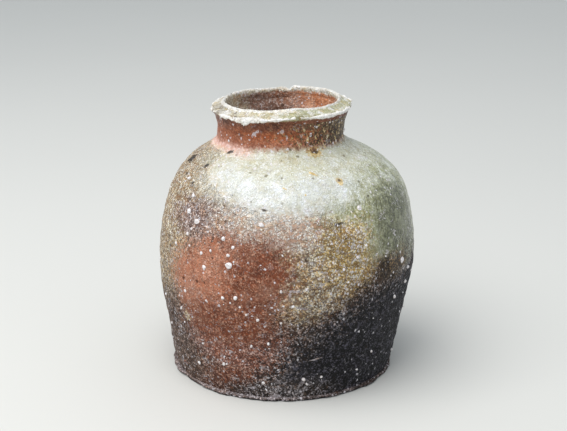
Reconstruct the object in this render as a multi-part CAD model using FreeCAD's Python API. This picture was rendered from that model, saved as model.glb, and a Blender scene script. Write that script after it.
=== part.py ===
import FreeCAD, Part
import math
import os

# A squat, hand-built, wood-fired stoneware jar for sake. Millimetres, +Z up, origin at the
# centre of the foot, on the surface the jar stands on. The body is a clay slab and rings of
# clay wall, luted to one another at bevelled seams, with a collar and a thick rim on top.

# Outline of the wall's outer side, radius and height, from the foot up to the collar's top
foot_radius = 47.3
low_radius = 51.6
low_height = 19.5
belly_radius = 56.2
belly_height = 52.5
upper_radius = 52.9
upper_drop = 24.6  # the last three stations of the body hang below the neck's foot
shoulder_radius = 43.6
shoulder_drop = 8.8
neck_foot_radius = 29.4
body_height = 100.6
neck_radius = 26.9
neck_waist_rise = 6.0
collar_flare = 1.6
collar_rise = 13.6

# Clay thicknesses
wall = 5.6
neck_wall = 4.4
slab_thickness = 7.0

# Seams between the rings, by their height on the outer side, and how far each slants up inwards.
# A third seam runs round the belly where it is widest.
lower_ring_top = 24.0
upper_ring_drop = 18.4  # below the neck's foot, as the jar's shoulder is
seam_slant = 2.4
inner_stations = 12

# Half-round lip of the slab, squeezed out under the lowest ring
lip_height = 1.8

# Rim band: top face falls outwards from an inner ridge to a beaded edge
rim_overhang = 2.0
rim_rise = 5.8  # from the collar's top to the ridge
rim_fall = 3.2  # from the ridge down to the middle of the bead
ridge_setback = 1.5  # from the mouth's edge out to the ridge
ridge_round = 0.9
bead_radius = 0.85

# Natural ash glaze on one side of the shoulder, melted flush into the clay
glaze_thickness = 0.6
glaze_margin = 2.0  # clay left bare between the glaze and the neck's foot
glaze_drop = 42.0  # lower edge, below the neck's foot
glaze_from = -112.0
glaze_to = 68.0
glaze_stations = 7
recess_reach = 2.0  # how far the tool that cuts the glaze's recess stands out of the wall

# Feldspar grains bedded in the clay and standing a little proud of it
grain_count = 14
grain_radius = 1.35
grain_proud = 0.45
grain_low = 12.0
grain_top_drop = 30.0  # highest grain, below the neck's foot
grain_side_gap = 14.0  # degrees of plain clay between the grains and the glaze
golden_share = 0.618034

collar_top_radius = neck_radius + collar_flare
collar_top = body_height + collar_rise
mouth_radius = collar_top_radius - neck_wall
rim_radius = collar_top_radius + rim_overhang
total_height = collar_top + rim_rise
axis_start = FreeCAD.Vector(0, 0, 0)
up = FreeCAD.Vector(0, 0, 1)


def point(radius, height):
    return FreeCAD.Vector(radius, 0, height)


def splineThrough(points):
    curve = Part.BSplineCurve()
    curve.interpolate(points)
    return curve


def parameterAt(curve, height):
    """Parameter of a rising curve at a height, found by halving."""
    low = curve.FirstParameter
    high = curve.LastParameter
    for step in range(50):
        middle = (low + high) / 2
        if curve.value(middle).z < height:
            low = middle
        else:
            high = middle
    return middle


def pointInside(curve, parameter, depth):
    """The point at a depth under the curve, square to it, towards the jar's hollow."""
    tangent = curve.tangent(parameter)[0]
    inward = FreeCAD.Vector(-tangent.z, 0, tangent.x)
    return curve.value(parameter) + inward * depth


def outerOutline():
    return splineThrough(
        [
            point(foot_radius, 0),
            point(low_radius, low_height),
            point(belly_radius, belly_height),
            point(upper_radius, body_height - upper_drop),
            point(shoulder_radius, body_height - shoulder_drop),
            point(neck_foot_radius, body_height),
            point(neck_radius, body_height + neck_waist_rise),
            point(collar_top_radius, collar_top),
        ]
    )


def innerOutline(outer):
    """Follows the outer side at the wall's thickness, which eases to the neck's in the collar."""
    neck_start = parameterAt(outer, body_height)
    stations = []
    for index in range(inner_stations):
        share = index / (inner_stations - 1)
        parameter = share * outer.LastParameter
        thickness = wall
        if parameter > neck_start:
            eased = (parameter - neck_start) / (outer.LastParameter - neck_start)
            thickness = wall + (neck_wall - wall) * min(1.0, 2 * eased)
        stations.append(pointInside(outer, parameter, thickness))
    stations[-1] = point(mouth_radius, collar_top)
    return splineThrough(stations)


def seamAt(outer, inner, height):
    """Outer and inner curve parameters of a seam that slants up towards the hollow."""
    outside = parameterAt(outer, height)
    across = pointInside(outer, outside, wall)
    return outside, parameterAt(inner, across.z + seam_slant)


def turned(edges, angle=360):
    wire = Part.Wire(Part.__sortEdges__(edges))
    return Part.Face(wire).revolve(axis_start, up, angle)


def ring(outer, inner, low_seam, high_seam):
    """One ring of wall between two seams, each a pair of curve parameters."""
    low_outside = outer.value(low_seam[0])
    low_inside = inner.value(low_seam[1])
    high_outside = outer.value(high_seam[0])
    high_inside = inner.value(high_seam[1])
    return turned(
        [
            outer.toShape(low_seam[0], high_seam[0]),
            Part.makeLine(high_outside, high_inside),
            inner.toShape(low_seam[1], high_seam[1]),
            Part.makeLine(low_inside, low_outside),
        ]
    )


def baseSlab(outside, inside):
    """Slab with a half-round lip and a bevelled edge that the lowest ring is pressed down on."""
    centre_low = point(0, 0)
    centre_high = point(0, inside.z)
    foot_edge = point(outside.x, 0)
    lip_edge = point(outside.x + lip_height / 2, lip_height / 2)
    return turned(
        [
            Part.makeLine(centre_low, foot_edge),
            Part.Arc(foot_edge, lip_edge, outside).toShape(),
            Part.makeLine(outside, inside),
            Part.makeLine(inside, centre_high),
            Part.makeLine(centre_high, centre_low),
        ]
    )


def rimBand(outside, inside):
    """Thick band over the collar's top, before the groove for its bead is cut."""
    ridge = point(mouth_radius + ridge_setback, total_height)
    mouth_edge = point(mouth_radius, total_height - ridge_setback)
    slope_start = point(ridge.x + ridge_round, total_height - ridge_round / 2)
    edge = point(rim_radius - bead_radius, total_height - rim_fall)
    return turned(
        [
            Part.makeLine(outside, edge),
            Part.makeLine(edge, slope_start),
            Part.Arc(slope_start, ridge, mouth_edge).toShape(),
            Part.makeLine(mouth_edge, inside),
            Part.makeLine(inside, outside),
        ]
    )


def rimBead():
    bead = Part.makeTorus(rim_radius - bead_radius, bead_radius)
    bead.translate(up * (total_height - rim_fall))
    return bead


def glazeBand(outer, outside):
    """Band from under the glaze out to a depth outside it, over one side of shoulder and flank."""
    low = parameterAt(outer, body_height - glaze_drop)
    high = parameterAt(outer, body_height - glaze_margin)
    under = []
    over = []
    for index in range(glaze_stations):
        parameter = low + (high - low) * index / (glaze_stations - 1)
        under.append(pointInside(outer, parameter, glaze_thickness))
        over.append(pointInside(outer, parameter, -outside))
    over_edge = splineThrough(over).toShape()
    if outside == 0:
        over_edge = outer.toShape(low, high)
    band = turned(
        [
            over_edge,
            Part.makeLine(over[-1], under[-1]),
            splineThrough(under).toShape(),
            Part.makeLine(under[0], over[0]),
        ],
        glaze_to - glaze_from,
    )
    band.rotate(axis_start, up, glaze_from)
    return band


def feldsparGrains(outer):
    """Grains spread by the golden ratio over the clay that the glaze leaves bare."""
    first_angle = glaze_to + grain_side_gap
    bare_angle = 360 - (glaze_to - glaze_from) - 2 * grain_side_gap
    height_span = body_height - grain_top_drop - grain_low
    grains = []
    for index in range(grain_count):
        height = grain_low + height_span * index / (grain_count - 1)
        parameter = parameterAt(outer, height)
        seat = pointInside(outer, parameter, grain_radius - grain_proud)
        grain = Part.makeSphere(grain_radius, seat, outer.value(parameter) - seat)
        grain.rotate(axis_start, up, first_angle + bare_angle * (index * golden_share % 1))
        grains.append(grain)
    return grains


def cutByEach(shape, tools):
    """Cuts with one tool after another, so that each seat comes out whole."""
    for tool in tools:
        shape = shape.cut(tool)
    return shape


def buildJar():
    outer = outerOutline()
    inner = innerOutline(outer)
    slab_seam = (parameterAt(outer, lip_height), parameterAt(inner, slab_thickness))
    lower_seam = seamAt(outer, inner, lower_ring_top)
    belly_seam = seamAt(outer, inner, belly_height)
    upper_seam = seamAt(outer, inner, body_height - upper_ring_drop)
    neck_seam = seamAt(outer, inner, body_height)
    rim_seam = (outer.LastParameter, inner.LastParameter)

    rings = {
        "lower_wall": (slab_seam, lower_seam),
        "belly_wall": (lower_seam, belly_seam),
        "upper_wall": (belly_seam, upper_seam),
        "shoulder_wall": (upper_seam, neck_seam),
    }

    recess = glazeBand(outer, recess_reach)
    grains = feldsparGrains(outer)
    bead = rimBead()
    nodes = {"base_slab": baseSlab(outer.value(slab_seam[0]), inner.value(slab_seam[1]))}
    for name, (low_seam, high_seam) in rings.items():
        nodes[name] = cutByEach(ring(outer, inner, low_seam, high_seam), [recess] + grains)
    nodes["neck_collar"] = ring(outer, inner, neck_seam, rim_seam)
    band = rimBand(outer.value(rim_seam[0]), inner.value(rim_seam[1]))
    nodes["rim_band"] = band.cut(bead)
    nodes["rim_ash_bead"] = bead
    nodes["ash_glaze_coat"] = glazeBand(outer, 0)
    nodes["feldspar_grains"] = Part.makeCompound(grains)
    return nodes


os.makedirs("parts", exist_ok=True)
for name, shape in buildJar().items():
    shape.exportStep("parts/" + name + ".step")
    box = shape.BoundBox
    print(name, len(shape.Solids), "solid(s)", round(shape.Volume), "mm3", "valid", shape.isValid())
    print("   x", round(box.XMin, 2), round(box.XMax, 2), "z", round(box.ZMin, 2), round(box.ZMax, 2))
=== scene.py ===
import itertools
import math

import bpy
import numpy as np
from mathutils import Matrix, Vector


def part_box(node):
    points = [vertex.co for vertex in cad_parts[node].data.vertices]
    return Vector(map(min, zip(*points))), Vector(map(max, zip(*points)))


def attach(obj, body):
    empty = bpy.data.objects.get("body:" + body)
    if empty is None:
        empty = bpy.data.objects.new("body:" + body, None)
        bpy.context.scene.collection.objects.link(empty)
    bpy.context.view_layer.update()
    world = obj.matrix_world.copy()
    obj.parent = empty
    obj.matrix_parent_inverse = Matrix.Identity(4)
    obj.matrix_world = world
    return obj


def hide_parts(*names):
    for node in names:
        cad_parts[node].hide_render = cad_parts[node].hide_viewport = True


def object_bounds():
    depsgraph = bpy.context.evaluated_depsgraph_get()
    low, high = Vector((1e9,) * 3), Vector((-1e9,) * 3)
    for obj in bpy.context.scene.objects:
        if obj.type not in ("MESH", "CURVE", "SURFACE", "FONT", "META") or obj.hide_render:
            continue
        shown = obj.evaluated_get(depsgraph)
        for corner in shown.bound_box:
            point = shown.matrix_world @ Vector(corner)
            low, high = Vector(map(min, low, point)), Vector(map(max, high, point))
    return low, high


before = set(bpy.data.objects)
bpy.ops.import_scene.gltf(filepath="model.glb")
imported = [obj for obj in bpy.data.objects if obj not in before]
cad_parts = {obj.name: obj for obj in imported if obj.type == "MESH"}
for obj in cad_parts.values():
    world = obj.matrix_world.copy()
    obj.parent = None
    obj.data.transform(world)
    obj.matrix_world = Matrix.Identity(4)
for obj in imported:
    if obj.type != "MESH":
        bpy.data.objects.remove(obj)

mm = 0.001
cadBox = [[float(value) for value in corner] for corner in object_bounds()]


def boxOf(node):
    low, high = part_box(node)
    return np.array(low) / mm, np.array(high) / mm


slabHigh = boxOf("base_slab")[1]
beadLow, beadHigh = boxOf("rim_ash_bead")
jar = {
    "lipTop": boxOf("lower_wall")[0][2],
    "slabTop": slabHigh[2],
    "lowerSeam": boxOf("belly_wall")[0][2],
    "bellySeam": boxOf("upper_wall")[0][2],
    "upperSeam": boxOf("shoulder_wall")[0][2],
    "neckFoot": boxOf("shoulder_wall")[1][2],
    "collarTop": boxOf("neck_collar")[1][2],
    "top": cadBox[1][2] / mm,
    "bellyRadius": boxOf("belly_wall")[1][0],
    "rimRadius": beadHigh[0],
    "beadHeight": (beadLow[2] + beadHigh[2]) / 2,
    "wall": 5.6,
    "neckWall": 4.4,
    "thinsOver": 5,  # height over which the wall thins to the neck's
    "seamSlant": 2.4,
    "columns": 800,  # points round the jar
    "outerStep": 0.44,  # between rows on the outer side
    "innerStep": 1.5,
}

outline = {
    # share of the belly's radius, share of the height up to the neck's foot
    "wall": [(0.850, 0.0), (0.888, 0.097), (0.917, 0.194), (0.957, 0.31), (1.0, 0.544), (0.977, 0.66),
             (0.94, 0.757), (0.886, 0.835), (0.776, 0.913), (0.632, 0.968)],
    # radius as a share of the rim's, share of the height from the neck's foot to the collar's top
    "collar": [(0.972, 0.0), (0.914, 0.13), (0.885, 0.45), (0.93, 1.0)],
    # how far the jar's middle stands to +X, at each height
    "lean": [(0.9, 0), (1.6, 20), (1.8, 37), (2.6, 55), (2.6, 70), (2.7, 86), (1.0, 96), (-0.3, 102),
             (0.0, 109), (0.1, 122)],
    "rimTilt": 1.65,  # degrees, higher on the +X side
    "rimWaves": [(3, 1.2, 0.28), (5, 0.4, 0.16), (9, 0, 0.1)],  # how many round the rim, start, height
}

relief = {  # how far the outer side stands in or out: size of the lumps, height of them
    "dents": (30, 0.55),
    "lumps": (8.0, 0.16),
    "pebbles": (2.4, 0.12),
    "sand": (1.2, 0.07),
    "neckCalm": 0.55,  # how much smoother the collar is than the wall
    "ringPitch": 6.6,
    "ringHeight": 0.09,
    "ringWander": 1.1,
    "creaseDepth": 0.3,
    "creaseWidth": 0.7,
    "creases": [  # share of the depth, height, turn, half-width in degrees, waviness, seed
        (1.0, jar["lowerSeam"] - 2, -10, 70, 1.6, 21),
        (1.0, jar["upperSeam"] + 1.5, 15, 60, 2.2, 22),
        (0.8, 19.5, 16, 14, 1.2, 23),
    ],
}

hollowRelief = {  # the same for the hollow side
    "ringPitch": 6.2,
    "ringHeight": 0.3,
    "lumps": (7, 0.2),
    "sand": (2, 0.06),
}


# Natural cubic through the stations, spaced by their distances.
def smoothThrough(stations, count):
    points = np.array(stations, float)
    steps = np.linalg.norm(np.diff(points, axis=0), axis=1)
    along = np.concatenate([[0], np.cumsum(steps)])
    size = len(points)
    matrix = np.eye(size)
    bends = np.zeros((size, points.shape[1]))
    for i in range(1, size - 1):
        before, after = steps[i - 1], steps[i]
        matrix[i, i - 1:i + 2] = before, 2 * (before + after), after
        slopeAfter = (points[i + 1] - points[i]) / after
        slopeBefore = (points[i] - points[i - 1]) / before
        bends[i] = 6 * (slopeAfter - slopeBefore)
    bends = np.linalg.solve(matrix, bends)
    places = np.linspace(0, along[-1], count)
    i = np.clip(np.searchsorted(along, places, side="right") - 1, 0, size - 2)
    step = steps[i][:, None]
    far = (places - along[i])[:, None]
    near = step - far
    curve = (bends[i] * near**3 + bends[i + 1] * far**3) / (6 * step)
    curve += (points[i] / step - bends[i] * step / 6) * near
    curve += (points[i + 1] / step - bends[i + 1] * step / 6) * far
    return curve


# Rows of radius, height and the outward normal of a curve that runs upwards.
def withNormals(curve):
    run = np.gradient(curve, axis=0)
    run /= np.linalg.norm(run, axis=1)[:, None]
    return np.column_stack([curve, run[:, 1], -run[:, 0]])


# Evenly spaced rows of a rising curve from one height to another.
def rowsBetween(curve, low, high, step):
    along = np.concatenate([[0], np.cumsum(np.linalg.norm(np.diff(curve[:, :2], axis=0), axis=1))])
    start, end = np.interp([low, high], curve[:, 1], along)
    places = np.linspace(start, end, max(2, round((end - start) / step) + 1))
    return np.column_stack([np.interp(places, along, curve[:, i]) for i in range(curve.shape[1])])


latticeSide = 32  # lumps before the noise repeats


# Smooth noise from -1 to 1 with lumps of a size, the same on every run.
def noiseAt(points, size, seed):
    lattice = np.random.RandomState(seed).uniform(-1, 1, (latticeSide,) * 3)
    cells = points / size + 2 * latticeSide
    base = np.floor(cells).astype(int)
    part = cells - base
    ease = part * part * (3 - 2 * part)
    total = 0
    for corner in itertools.product((0, 1), repeat=3):
        weight = np.prod(np.where(corner, ease, 1 - ease), axis=-1)
        i, j, k = np.moveaxis((base + corner) % latticeSide, -1, 0)
        total = total + weight * lattice[i, j, k]
    return total


def easeBetween(low, high, values):
    share = np.clip((values - low) / (high - low), 0, 1)
    return share * share * (3 - 2 * share)


# Point at a turn in degrees from the front, towards +X, on the outer side unless a radius is given.
def place(turn, height, radius=None):
    if radius is None:
        radius = np.interp(height, outerCurve[:, 1], outerCurve[:, 0])
    return np.array([radius * math.sin(math.radians(turn)), -radius * math.cos(math.radians(turn)), height])


wallStations = [(jar["bellyRadius"] * radius, jar["neckFoot"] * height)
                for radius, height in outline["wall"]]
collarHeight = jar["collarTop"] - jar["neckFoot"]
collarStations = [(jar["rimRadius"] * radius, jar["neckFoot"] + collarHeight * height)
                  for radius, height in outline["collar"]]
outerCurve = withNormals(smoothThrough(wallStations + collarStations, 1600))

thinning = [jar["neckFoot"], jar["neckFoot"] + jar["thinsOver"]]
thickness = np.interp(outerCurve[:, 1], thinning, [jar["wall"], jar["neckWall"]])
hollowLine = outerCurve[:, :2] - outerCurve[:, 2:] * thickness[:, None]
innerCurve = withNormals(hollowLine)


def turnOf(points):
    return np.degrees(np.arctan2(points[..., 0], -points[..., 1]))


# 1 at a turn, easing to 0 at a width of degrees either side of it.
def nearTurn(points, turn, width):
    off = (turnOf(points) - turn + 180) % 360 - 180
    return 1 - easeBetween(0, width, np.abs(off))


# A shallow groove along a height that wanders, over some of the way round.
def crease(points, height, turn, width, wave, seed):
    line = height + wave * noiseAt(points * [1, 1, 0.01], 17, seed)
    depth = np.exp(-(((points[..., 2] - line) / relief["creaseWidth"]) ** 2))
    return depth * nearTurn(points, turn, width)


def outerRelief(points):
    z = points[..., 2]
    size, height = relief["dents"]
    out = height * noiseAt(points * [1, 1, 0.7], size, 3)
    out = out * easeBetween(0, 14, z)
    calm = 1 - relief["neckCalm"] * easeBetween(jar["neckFoot"] - 3, jar["neckFoot"] + 2, z)
    for seed, name in enumerate(("lumps", "pebbles", "sand")):
        size, height = relief[name]
        out = out + height * noiseAt(points, size, 11 + seed) * calm
    wander = relief["ringWander"] * noiseAt(points * [1, 1, 0.4], 21, 7)
    rings = np.sin(2 * math.pi * z / relief["ringPitch"] + 2 * wander)
    out = out + relief["ringHeight"] * rings * easeBetween(2, 10, z)
    folds = sum(share * crease(points, *line) for share, *line in relief["creases"])
    return out - relief["creaseDepth"] * folds


def innerRelief(points):
    z = points[..., 2]
    wander = noiseAt(points * [1, 1, 0.4], 18, 31)
    rings = hollowRelief["ringHeight"] * np.sin(2 * math.pi * z / hollowRelief["ringPitch"] + 2 * wander)
    out = rings * easeBetween(9, 20, z)
    for seed, name in enumerate(("lumps", "sand")):
        size, height = hollowRelief[name]
        out = out + height * noiseAt(points, size, 32 + seed)
    return out


# Moves finished points as the soft clay moved: the lean to +X, the tilted and wavy rim.
def leaned(points):
    z = points[..., 2]
    leanCurve = smoothThrough(outline["lean"], 200)
    moved = points.copy()
    moved[..., 0] += np.interp(z, leanCurve[:, 1], leanCurve[:, 0])
    share = easeBetween(jar["neckFoot"] + 2, jar["collarTop"], z)
    moved[..., 2] += share * math.tan(math.radians(outline["rimTilt"])) * points[..., 0]
    turn = np.arctan2(points[..., 0], -points[..., 1])
    wave = sum(height * np.sin(count * turn + start) for count, start, height in outline["rimWaves"])
    moved[..., 2] += easeBetween(jar["collarTop"] - 3, jar["collarTop"] + 2, z) * wave
    return moved


# Points and outward normals of rows of radius, height and normal, turned round the axis.
def turnedPoints(rows, columns):
    turns = np.linspace(0, 2 * math.pi, columns, endpoint=False) + math.pi
    across = np.column_stack([np.sin(turns), -np.cos(turns)])
    points = np.zeros((len(rows), columns, 3))
    normals = np.zeros((len(rows), columns, 3))
    points[..., :2] = rows[:, None, 0, None] * across[None]
    points[..., 2] = rows[:, None, 1]
    normals[..., :2] = rows[:, None, 2, None] * across[None]
    normals[..., 2] = rows[:, None, 3]
    return points, normals


def makeObject(name, points, faces, materials, slots, sharp=38):
    mesh = bpy.data.meshes.new(name)
    mesh.from_pydata((np.asarray(points) * mm).tolist(), [], [list(face) for face in faces])
    for material in materials:
        mesh.materials.append(material)
    mesh.polygons.foreach_set("material_index", np.asarray(slots, dtype=np.int32))
    mesh.polygons.foreach_set("use_smooth", np.ones(len(faces), dtype=bool))
    mesh.update()
    mesh.validate()
    mesh.set_sharp_from_angle(angle=math.radians(sharp))
    piece = bpy.data.objects.new(name, mesh)
    bpy.context.scene.collection.objects.link(piece)
    return piece


# Quads between rows of points, and between the last row and the first where the loop closes.
def loopFaces(rowCount, columns, closed):
    last = rowCount if closed else rowCount - 1
    row, column = np.meshgrid(np.arange(last), np.arange(columns), indexing="ij")
    nextRow = (row + 1) % rowCount
    nextColumn = (column + 1) % columns
    corners = [row * columns + column, row * columns + nextColumn, nextRow * columns + nextColumn,
               nextRow * columns + column]
    return np.stack(corners, -1).reshape(-1, 4)


# One ring of the wall: its outer side, its hollow side and the slanted seams that join them.
def ringPiece(name, lowSeam, highSeam, outside, hollow):
    outer = rowsBetween(outerCurve, lowSeam[0], highSeam[0], jar["outerStep"])
    inner = rowsBetween(innerCurve, lowSeam[1], highSeam[1], jar["innerStep"])
    outerPoints, outerNormals = turnedPoints(outer, jar["columns"])
    innerPoints, innerNormals = turnedPoints(inner, jar["columns"])
    outerPoints = leaned(outerPoints + outerNormals * outerRelief(outerPoints)[..., None])
    innerPoints = leaned(innerPoints + innerNormals * innerRelief(innerPoints)[..., None])
    points = np.concatenate([outerPoints, innerPoints[::-1]])
    faces = loopFaces(len(points), jar["columns"], True)
    rowOfFace = np.arange(len(faces)) // jar["columns"]
    slots = (rowOfFace >= len(outer) - 1).astype(int)
    return makeObject(name, points.reshape(-1, 3), faces, [outside, hollow], slots)


# Heights of a seam on the outer side and on the hollow side.
def seamAt(height):
    inside = np.interp(height, outerCurve[:, 1], hollowLine[:, 1])
    return height, inside + jar["seamSlant"]


# A plain colour, given as 0 to 255 values of the eye, turned into the renderer's.
def tone(red, green, blue):
    shares = [value / 255 for value in (red, green, blue)]
    return tuple(share / 12.92 if share <= 0.04045 else ((share + 0.055) / 1.055) ** 2.4
                 for share in shares)


tones = {  # each firing colour: its dark gaps, its body, its pale beads
    "umber": (tone(54, 36, 28), tone(124, 94, 76), tone(206, 180, 166)),
    "flame": (tone(108, 54, 36), tone(212, 142, 110), tone(242, 198, 174)),
    "deepFlame": (tone(74, 34, 24), tone(160, 92, 62), tone(222, 174, 148)),
    "rust": (tone(80, 42, 32), tone(202, 142, 120), tone(250, 220, 210)),
    "ochre": (tone(72, 42, 24), tone(242, 214, 168), tone(255, 252, 240)),
    "gold": (tone(98, 64, 22), tone(240, 206, 130), tone(255, 255, 250)),
    "tan": (tone(166, 120, 92), tone(255, 244, 228), tone(255, 254, 250)),
    "mauve": (tone(76, 46, 40), tone(212, 178, 160), tone(252, 240, 236)),
    "cream": (tone(132, 96, 62), tone(246, 226, 188), tone(255, 252, 240)),
    "frost": (tone(184, 182, 158), tone(215, 216, 210), tone(241, 244, 250)),
    "paleGreen": (tone(166, 158, 116), tone(216, 216, 196), tone(243, 245, 242)),
    "celadon": (tone(100, 100, 52), tone(182, 182, 132), tone(238, 240, 224)),
    "olive": (tone(42, 44, 20), tone(88, 90, 52), tone(166, 168, 134)),
    "charcoal": (tone(7, 7, 8), tone(20, 18, 19), tone(104, 100, 112)),
    "cinder": (tone(26, 19, 18), tone(102, 86, 74), tone(220, 210, 212)),
    "brownBlack": (tone(24, 15, 8), tone(60, 40, 20), tone(150, 120, 76)),
    "collar": (tone(84, 34, 18), tone(186, 98, 48), tone(224, 152, 104)),
    "salmon": (tone(212, 158, 136), tone(244, 200, 184), tone(246, 230, 234)),
    "rimAsh": (tone(120, 92, 62), tone(214, 204, 174), tone(248, 246, 236)),
    "smoke": (tone(58, 50, 44), tone(124, 114, 102), tone(196, 188, 178)),
    "hollow": (tone(140, 74, 42), tone(222, 146, 98), tone(244, 206, 178)),
    "soot": (tone(70, 46, 36), tone(150, 112, 92), tone(226, 212, 206)),
    "crustWhite": (tone(196, 184, 160), tone(248, 246, 242), tone(255, 255, 255)),
    # dark brown used only for painted shade: painted shadow under the rim's lip and under the ash bead,
    # painted shade on the neck's left
    "ember": (tone(34, 17, 12), tone(104, 52, 32), tone(186, 130, 100)),
    "lilac": (tone(156, 142, 138), tone(228, 220, 228), tone(252, 248, 254)),
}

# Where each firing colour lies, painted one over another: turn from the front and height of its middle,
# reach round the jar and in height, how far it climbs with the turn, softness of the edge, how far the
# grain breaks the edge up, then how thickly white specks lie, how glassy it is, how coarse its sand is.
firing = [
    ("smoke", (165, 45), (62, 60), 0, 0.5, 0.6, 0.20, 0.10, 0.9),
    ("ochre", (-84, 68), (38, 42), 0, 0.3, 0.6, 0.25, 0.10, 0.85),
    ("ochre", (-84, 72), (32, 24), 0, 0.45, 0.6, 0.2, 0.10, 0.9),
    ("umber", (-70, 29), (28, 11), 0, 0.7, 0.6, 0.24, 0.05, 1.0),
    ("rust", (172, 30), (34, 22), 0.2, 0.5, 0.6, 0.2, 0.05, 0.9),
    ("deepFlame", (178, 50), (22, 14), -0.2, 0.5, 0.5, 0.1, 0.0, 0.6),
    ("smoke", (120, 40), (30, 44), 0, 0.5, 0.6, 0.16, 0.2, 0.8),
    ("cream", (-66, 96), (48, 17), -0.04, 0.35, 0.6, 0.12, 0.15, 0.9),
    ("cream", (-150, 96), (40, 16), 0, 0.5, 0.6, 0.12, 0.15, 0.9),
    ("cream", (-74, 84), (27, 19), 0, 0.5, 0.7, 0.16, 0.1, 0.95),
    ("mauve", (-38, 78), (22, 9), 0.05, 0.35, 0.8, 0.22, 0.05, 0.9),
    ("rust", (-19, 25), (25, 13), -0.1, 0.5, 0.5, 0.2, 0.0, 0.9),
    ("deepFlame", (-26, 9), (12, 6), 0.3, 0.9, 0.6, 0.14, 0.0, 0.9),
    ("ochre", (13, 60), (20, 24), 0.1, 0.2, 0.6, 0.10, 0.15, 0.9),
    ("tan", (-3, 79), (27, 10.5), 0, 0.3, 0.6, 0.14, 0.1, 0.85),
    ("flame", (-31, 51), (25, 20), 0.02, 0.3, 0.45, 0.07, 0.0, 0.45),
    ("flame", (-20, 62), (13, 11), -0.2, 0.4, 0.6, 0.08, 0.0, 0.5),
    ("deepFlame", (-9, 57), (14, 18), 0, 0.45, 0.6, 0.07, 0.0, 0.6),
    ("deepFlame", (-24, 35), (22, 11), -0.1, 0.5, 0.5, 0.12, 0.0, 0.7),
    ("gold", (33, 66), (16, 17), 0, 0.4, 0.6, 0.7, 0.35, 0.85),
    ("celadon", (57, 82), (36, 26), -0.3, 0.2, 0.35, 0.12, 0.8, 0.4),
    ("celadon", (110, 88), (38, 22), 0, 0.4, 0.5, 0.12, 0.8, 0.4),
    ("olive", (64, 70), (18, 20), 0, 0.5, 0.5, 0.14, 0.85, 0.45),
    ("gold", (29, 71), (12, 9), 0, 0.5, 0.7, 0.7, 0.45, 0.85),
    ("frost", (-1, 94), (34, 12), 0, 0.45, 0.4, 0.08, 0.6, 0.4),
    ("paleGreen", (18, 100), (38, 6), 0, 0.6, 0.5, 0.08, 0.6, 0.5),
    ("salmon", (-68, 105), (25, 4.6), 0, 0.4, 0.25, 0.06, 0.1, 0.4),
    ("cinder", (43, 18), (44, 33), 0.25, 0.24, 0.5, 0.16, 0.05, 1.0),
    ("charcoal", (48, 16), (41, 33), 0.25, 0.25, 0.5, 0.05, 0.0, 0.9),
    ("cinder", (-4, 3), (22, 6), 0, 0.7, 0.6, 0.16, 0.05, 1.0),
    ("charcoal", (88, 24), (34, 36), 0, 0.3, 0.5, 0.05, 0.0, 0.9),
    ("brownBlack", (55, 56), (12, 6), 0.2, 0.5, 0.8, 0.06, 0.15, 0.9),
]

# Single marks the kiln left, laid over the firing colours in the same way: turn and height, reach, climb.
marks = [
    ("charcoal", (-80, 95), (3.0, 2.0), 0), ("charcoal", (-47, 101), (1.6, 0.8), 0.4),
    ("charcoal", (-56, 96), (1.5, 1.1), 0), ("charcoal", (-56, 89), (2.3, 1.2), 0),
    ("brownBlack", (-69, 91), (2.2, 1.0), 0), ("charcoal", (-26, 89), (1.0, 0.9), 0),
    ("gold", (30, 102.5), (3.2, 2.6), 0), ("brownBlack", (30, 102.5), (1.5, 1.3), 0),
    ("gold", (33, 92), (1.8, 3.0), 0), ("brownBlack", (33, 92), (0.8, 2.2), 0),
    ("brownBlack", (26, 78.5), (2.4, 0.6), 0.1), ("brownBlack", (-8, 84.5), (1.5, 0.5), -0.15),
    ("gold", (2, 92), (1.1, 0.4), -0.3), ("gold", (20, 96), (1.7, 0.45), -0.4),
    ("gold", (12, 89), (0.5, 1.1), 0.3), ("cream", (-49, 33), (2.4, 2.8), 0),
    ("rust", (-58, 8), (2.0, 0.8), 0), ("lilac", (16, 20), (2.6, 0.45), 0.25),
    ("lilac", (6, 52.4), (2.8, 0.5), -0.05), ("lilac", (4, 51), (0.7, 1.6), 0.4),
    ("lilac", (9, 44.5), (2.2, 0.6), -0.2), ("lilac", (-40, 46), (1.0, 0.8), 0),
    ("lilac", (-53, 70), (0.9, 1.5), 0.3), ("lilac", (-14, 39), (0.6, 1.8), 0.2),
    ("lilac", (-36, 24), (1.9, 0.7), 0.2), ("lilac", (-24, 22), (1.4, 0.6), -0.2),
    ("lilac", (-43, 18), (1.2, 0.6), 0), ("lilac", (-3, 2.2), (2.4, 0.9), 0.1),
    ("lilac", (-14, 6), (1.6, 0.7), 0.2), ("lilac", (-58, 7), (1.0, 0.8), 0.2),
    ("charcoal", (58, 53.6), (1.6, 1.0), 0), ("charcoal", (150, 88), (2.6, 1.5), 0),
    ("brownBlack", (-165, 74), (3.0, 1.2), 0.2), ("charcoal", (-130, 92), (2.0, 1.1), 0),
    ("frost", (130, 33), (3.2, 0.5), 0.3),
]

coatBlobs = ("celadon", "olive", "frost", "paleGreen")  # where the ash melted into a glass

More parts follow.
